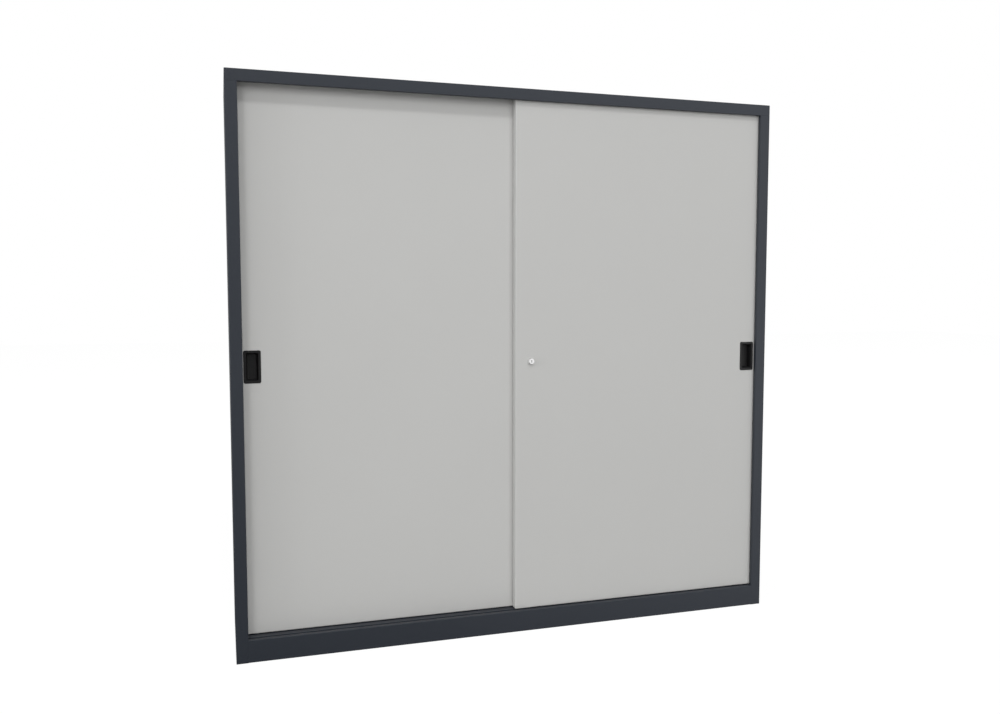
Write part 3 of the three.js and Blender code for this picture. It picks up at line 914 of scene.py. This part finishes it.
def door_pan(door):
    """The folded pan of one door, with its holes."""
    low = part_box(f"{door}_panel")[0]
    pan = copied(blank, f"pan_{door}", low - blank_low)
    cut_by(pan, cup_hole(*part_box(f"{door}_handle"), low.y))
    for end in sides:
        cut_by(pan, roller_slot(f"{door}_roller_{end}", low))
    return pan


print("the blank of a door has", len(blank.data.polygons), "faces")

# %% Holes in the doors
rim_width = 0.0012
lock_hole_depth = 0.010
round_steps = 64

front_pan = door_pan("front_door")
lock_low, lock_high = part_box("lock_housing")
lock_centre = (lock_low + lock_high) / 2
housing_radius = (lock_high.x - lock_low.x) / 2 - rim_width
deselect()
bpy.ops.mesh.primitive_cylinder_add(
    vertices=round_steps, radius=housing_radius + hole_clearance, depth=lock_hole_depth,
    location=(lock_centre.x, door_faces[0], lock_centre.z), rotation=(math.pi / 2, 0.0, 0.0))
cut_by(front_pan, opened("lock_hole"))
complete(front_pan, "door_paint", "front_door_panel")
complete(door_pan("rear_door"), "door_paint", "rear_door_panel")
bpy.data.objects.remove(blank)

# %% [markdown]
# ## The handle cups
# A cup is moulded in black plastic: a rim that stands 2 mm proud of the door, a barrel that goes
# through the sheet, and a finger well. The well's walls have a draft so that the moulding leaves
# its tool, and its mouth is rounded for the fingers, which is the thin light line near the lower
# rim. The plate grows its barrel by inset and extrude, and a tapered block takes the well out.

# %% Handle cups
rim_thickness = 0.0018
rim_corner = 0.006
rim_corner_steps = 10
rim_edge = 0.0009
well_mouth = 0.0088
well_inset = 0.0132
well_corner = 0.0035
well_round = 0.0015
draft_slant = 0.3
back_round = 0.0015
floor_wall = 0.002


def well(low, high):
    """The tapered block whose shape is the cup's hollow."""
    floor = high.y - floor_wall
    side = Vector((well_mouth, 0.0, well_mouth))
    piece = block("well", low + side, Vector((high.x, floor, high.z)) - side)
    pick("FACE", facing(Y, 1))
    draft = 2 * (well_inset - well_mouth)
    wide, tall = high.x - low.x - 2 * well_mouth, high.z - low.z - 2 * well_mouth
    bpy.ops.transform.resize(value=((wide - draft) / wide, 1.0, (tall - draft) / tall))
    pick("FACE", facing(Y, -1))
    pushed((0.0, -overrun, 0.0))
    pick("EDGE", along(Y, draft_slant))
    rounded(well_corner, fine_steps)
    pick("EDGE", lambda edge: folds(edge) and near(middle(edge).y, floor))
    rounded(well_round)
    return piece


low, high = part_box("front_door_handle")
rim_back = low.y + rim_thickness
hollow = well(low, high)
cup = block("cup", low, (high.x, rim_back, high.z))
pick("EDGE", along(Y))
rounded(rim_corner, rim_corner_steps)
pick("FACE", facing(Y, 1))
bpy.ops.mesh.inset(thickness=cup_step)
pushed((0.0, high.y - rim_back, 0.0))
pick("EDGE", lambda edge: folds(edge) and near(middle(edge).y, high.y))
rounded(back_round)
cut_by(cup, hollow)
bpy.ops.object.mode_set(mode="EDIT")
pick("EDGE", lambda edge: folds(edge) and near(middle(edge).y, low.y))
rounded(rim_edge)
spread(cup, "black_plastic", {f"{door}_handle": f"cup_{door}" for door in doors})

# %% [markdown]
# ## Turned pieces
# The lock, the rollers, the feet and the rubber stops are all round. A turned piece starts as one
# point, its profile is drawn by extruding that point, and a spin about the axis makes the surface.
# The spin leaves a double seam, so the points are merged and the normals set again.

# %% Turning a profile
quarter = [math.radians(angle) for angle in range(0, 91, 15)]
few_steps = 2


def turned(name, profile, centre, axis, steps=round_steps):
    """Spins a profile of (radius, distance along the axis) points about an axis."""
    deselect()
    bpy.ops.mesh.primitive_plane_add(size=1.0)
    piece = opened(name)
    bpy.ops.mesh.select_mode(type="VERT")
    bpy.ops.mesh.select_all(action="SELECT")
    bpy.ops.mesh.merge(type="CENTER")
    out, way = unit((axis + 1) % 3), unit(axis)
    points = [Vector(centre) + radius * out + reach * way for radius, reach in profile]
    bpy.ops.transform.translate(value=points[0])
    for here, there in zip(points, points[1:]):
        pushed(there - here)
    bpy.ops.mesh.select_all(action="SELECT")
    bpy.ops.mesh.spin(steps=steps, angle=math.tau, center=centre, axis=way)
    bpy.ops.mesh.select_all(action="SELECT")
    bpy.ops.mesh.remove_doubles(threshold=nothing)
    bpy.ops.mesh.normals_make_consistent(inside=False)
    return piece


def eased(piece, radius, steps=3):
    """Rounds every sharp edge of a piece."""
    modified(piece, "BEVEL", width=radius, segments=steps, limit_method="ANGLE",
             angle_limit=sharp_angle, use_clamp_overlap=True)
    return piece


print("a turned piece has", round_steps, "steps, if it isn't told otherwise")

# %% [markdown]
# ## The push lock
# A ring clamps the sleeve to the door's face. The bright button slides in it with a bolt on its
# back, and the key cylinder sits in the button with a countersunk edge and an upright keyway. A
# thin black sheet closes the keyway just inside its mouth. Its black is painted shade that stands
# in for the dark depth of the keyway. The ring is painted like the door, because the button is the
# one bright thing there in the photograph and no ring shows around it.

# %% Lock housing
button_radius = 0.010
bolt_radius = 0.004
lock_clear = 0.0003
trim_gap = 0.0002
sleeve_wall = 0.002
sleeve_edge = 0.0005

front_face = door_faces[0]
face_at = Vector((lock_centre.x, front_face, lock_centre.z))
ring_radius = housing_radius + rim_width
ring_reach = front_face - lock_low.y
bore = button_radius + lock_clear
bolt_bore = bolt_radius + lock_clear
sleeve_end = lock_high.y - front_face
sleeve_floor = sleeve_end - sleeve_wall
sleeve = turned("lock_ring", [
    (bore, -ring_reach),
    (ring_radius, -ring_reach),
    (ring_radius, -trim_gap),
    (housing_radius, -trim_gap),
    (housing_radius, sleeve_end),
    (bolt_bore, sleeve_end),
    (bolt_bore, sleeve_floor),
    (bore, sleeve_floor),
    (bore, -ring_reach),
], face_at, Y)
complete(eased(sleeve, sleeve_edge), "door_paint", "lock_housing")

# %% Lock button
button_reach = 0.012
button_back = 0.012
shoulder = 0.0012
core_radius = 0.006
core_depth = 0.018
core_chamfer = 0.0003
lock_edge = 0.0002

bolt_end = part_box("lock_plunger")[1].y - front_face
core_bore = core_radius + lock_clear
bore_end = -button_reach + core_depth + lock_clear
round_edge = [(button_radius - shoulder * (1 - math.sin(turn)),
               -button_reach + shoulder * (1 - math.cos(turn))) for turn in quarter]
button = turned("lock_button", [
    (0.0, bore_end),
    (core_bore, bore_end),
    (core_bore, -button_reach + core_chamfer),
    (core_bore + core_chamfer, -button_reach),
    *round_edge,
    (button_radius, button_back),
    (bolt_radius, button_back),
    (bolt_radius, bolt_end),
    (0.0, bolt_end),
], face_at, Y)
complete(eased(button, lock_edge), "chrome", "lock_plunger")

# %% Key cylinder
key_width = 0.0031
key_height = 0.0084
key_depth = 0.0140
key_corner = 0.0004
key_steps = 3
ward_rise = 0.45
ward_height = 0.0012
ward_reach = 0.0006
# Where the black sheet of painted shade sits in the keyway, and how thick it is.
shade_sheet_inset = 0.0008
shade_sheet_thickness = 0.0005

core = turned("lock_barrel", [
    (0.0, -button_reach),
    (core_radius, -button_reach),
    (core_radius, -button_reach + core_depth),
    (0.0, -button_reach + core_depth),
], face_at, Y)
eased(core, lock_edge)


def key_shape(name, start, depth):
    """A block with the keyway's outline."""
    piece = block(name, start, start + Vector((key_width, depth, key_height)))
    pick("EDGE", along(Y))
    rounded(key_corner, key_steps)
    return piece


key_start = face_at + Vector((-key_width / 2, -button_reach, -key_height / 2))
before = Vector((0.0, -overrun, 0.0))
cut_by(core, key_shape("keyway", key_start + before, key_depth + overrun))
ward_start = key_start + before + Vector((key_width, 0.0, ward_rise * key_height))
cut_by(core, block("ward", ward_start - Vector((ward_height, 0.0, 0.0)),
                   ward_start + Vector((ward_reach, key_depth + overrun, ward_height))))
complete(core, "chrome", "lock_core")
# A black sheet just inside the keyway is painted shade: it stands where the keyway's depth would be
# dark.
keyway_shade = key_shape("keyway_shade_sheet", key_start + Vector((0.0, shade_sheet_inset, 0.0)), shade_sheet_thickness)
complete(keyway_shade, "black_plastic", body="lock_cylinder")

# %% [markdown]
# ## Rollers
# Each door stands on two nylon rollers. A roller has a rounded tread, a web that is thinner than
# the tread, and a hub on its axle.

# %% Rollers
web_half = 0.0018
axle_bore = 0.0043
hub_radius = 0.0072
tread_wall = 0.0035
tread_inset = 0.0008
tread_slope = 0.0012
wheel_edge = 0.0004
wheel_steps = 48

low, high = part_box("front_door_roller_left")
radius, half = (high.z - low.z) / 2, (high.y - low.y) / 2
outline = [
    (axle_bore, half),
    (hub_radius, half),
    (hub_radius, web_half),
    (radius - tread_wall, web_half),
    (radius - tread_wall, half),
    (radius - tread_inset, half),
    (radius, half - tread_slope),
]
profile = outline + [(r, -y) for r, y in reversed(outline)] + [outline[0]]
wheel = turned("wheel", profile, (low + high) / 2, Y, wheel_steps)
spread(eased(wheel, wheel_edge, few_steps), "nylon", {
    f"{door}_roller_{end}": f"wheel_{door}_{end}" for door in doors for end in sides})

# %% [markdown]
# ## Rubber stops and levelling feet
# On each side wall a stop meets each door's edge. The feet stand inside the plinth. Each is a
# round pad with a stem whose thread is a row of small ridges.

# %% Rubber stops
stop_base = 0.003
stop_neck = 0.0095
stop_shoulder = 0.0015
stop_body = 0.0088
stop_dome = 0.004
stop_edge = 0.0006
stop_steps = 40

low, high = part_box("front_door_buffer_left")
reach, pad = high.x - low.x, (high.z - low.z) / 2
dome = [(stop_body * math.cos(turn), reach - stop_dome + stop_dome * math.sin(turn))
        for turn in quarter]
profile = [
    (0.0, 0.0),
    (pad, 0.0),
    (pad, stop_base),
    (stop_neck, stop_base),
    (stop_body, stop_base + stop_shoulder),
    *dome,
]
stop = turned("stop", profile, (-reach / 2, 0.0, 0.0), X, stop_steps)
eased(stop, stop_edge, few_steps)
for door in doors:
    for end in sides:
        node = f"{door}_buffer_{end}"
        low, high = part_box(node)
        copy = copied(stop, f"stop_{node}", (low + high) / 2, about_face=end == "right")
        complete(copy, "rubber", node)
bpy.data.objects.remove(stop)

# %% Levelling feet
pad_height = 0.006
pad_edge = 0.0015
pad_collar = 0.002
stem_radius = 0.005
stem_plain = 0.003
thread_pitch = 0.0015
thread_height = 0.0006
socket_radius = 0.0025
socket_depth = 0.010
foot_steps = 32

low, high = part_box("levelling_foot_front_left")
pad, top = (high.x - low.x) / 2, high.z - low.z
profile = [
    (0.0, 0.0),
    (pad - pad_edge, 0.0),
    (pad, pad_edge),
    (pad, pad_height - pad_edge),
    (pad - pad_edge, pad_height),
    (stem_radius + pad_collar, pad_height),
]
height = pad_height + stem_plain
while height < top - stem_plain:
    profile.append((stem_radius - thread_height, height))
    profile.append((stem_radius, height + thread_pitch / 2))
    height += thread_pitch
profile += [
    (stem_radius - thread_height, top),
    (socket_radius, top),
    (socket_radius, top - socket_depth),
    (0.0, top - socket_depth),
]
under_middle = ((low.x + high.x) / 2, (low.y + high.y) / 2, low.z)
feet = [f"levelling_foot_{row}_{end}" for row in rows for end in sides]
spread(turned("foot", profile, under_middle, Z, foot_steps), "zinc_steel", {
    node: f"stand_{node}" for node in feet})

# %% [markdown]
# ## What keeps its shape
# The rest is hidden when the doors are shut, and its CAD shape is right: slotted uprights, the top
# track, stiffeners, roller brackets, guides, the lock's nut and the floor panel. A copy of each is
# merged, because a node is made of loose triangles, and its hard edges are eased so that they
# catch the light as pressed or moulded edges do.

# %% Eased copies
same_plane = math.radians(0.5)
thin_edge = 0.0003
plate_edge = 0.0004
post_edge = 0.0005
guide_edge = 0.0006


def eased_copy(node, name, radius):
    """A piece that has a node's shape, with its edges rounded."""
    piece = bpy.data.objects.new(name, nodes[node].data.copy())
    bpy.context.scene.collection.objects.link(piece)
    hold(piece)
    bpy.ops.mesh.customdata_custom_splitnormals_clear()
    bpy.ops.object.mode_set(mode="EDIT")
    bpy.ops.mesh.select_all(action="SELECT")
    bpy.ops.mesh.remove_doubles(threshold=nothing)
    bpy.ops.mesh.dissolve_limited(angle_limit=same_plane)
    return eased(piece, radius, few_steps)


kept = [("top_track", "track_top", thin_edge, "aluminium_rail"),
        ("base_panel", "floor_panel", plate_edge, "carcass_paint"),
        ("lock_nut", "nut", plate_edge, "zinc_steel")]
for bay in sides:
    for wall in ("outer", "inner"):
        for row in rows:
            post = f"{bay}_{wall}_{row}"
            kept.append((f"upright_{post}", f"post_{post}", post_edge, "carcass_paint"))
for door in doors:
    for end in sides:
        kept += [
            (f"{door}_stiffener_{end}", f"hat_{door}_{end}", thin_edge, "zinc_steel"),
            (f"{door}_roller_bracket_{end}", f"bracket_{door}_{end}", plate_edge, "zinc_steel"),
            (f"{door}_top_guide_{end}", f"guide_{door}_{end}", guide_edge, "black_plastic"),
        ]
for node, name, radius, slot_name in kept:
    complete(eased_copy(node, name, radius), slot_name, node)

# %% [markdown]
# ## Rivets
# The back is riveted to the flanges of the side panels. A rivet's head is a shallow dome with a
# small hole left by its broken stem. One is turned and then copied along each side.

# %% Rivets at the back
rivet_radius = 0.0042
rivet_height = 0.0013
rivet_hole = 0.0012
rivet_lip = 0.9
rivet_sunk = 0.0004
rivet_count = 7
rivet_steps = 16
dome_angles = (70, 50, 30, 12, 0)

angles = [math.radians(angle) for angle in dome_angles]
dome = [
    (rivet_hole, rivet_lip * rivet_height),
    *((rivet_radius * math.cos(angle), rivet_height * math.sin(angle)) for angle in angles),
    (rivet_radius, -rivet_sunk),
    (rivet_hole, -rivet_sunk),
    (rivet_hole, rivet_lip * rivet_height),
]
rivet = turned("rivet", dome, (0.0, rear_plane, 0.0), Y, rivet_steps)
half_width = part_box("top_panel")[1].x
rise = (back_high - back_low) / rivet_count
heights = [back_low + rise * (row + 0.5) for row in range(rivet_count)]
columns = {"left": -half_width + rear_flange / 2, "right": half_width - rear_flange / 2}
for side, x in columns.items():
    heads = [copied(rivet, "rivet_head", (x, 0.0, z)) for z in heights]
    complete(merged(f"rivets_{side}", *heads), "zinc_steel", body="carcass")
bpy.data.objects.remove(rivet)
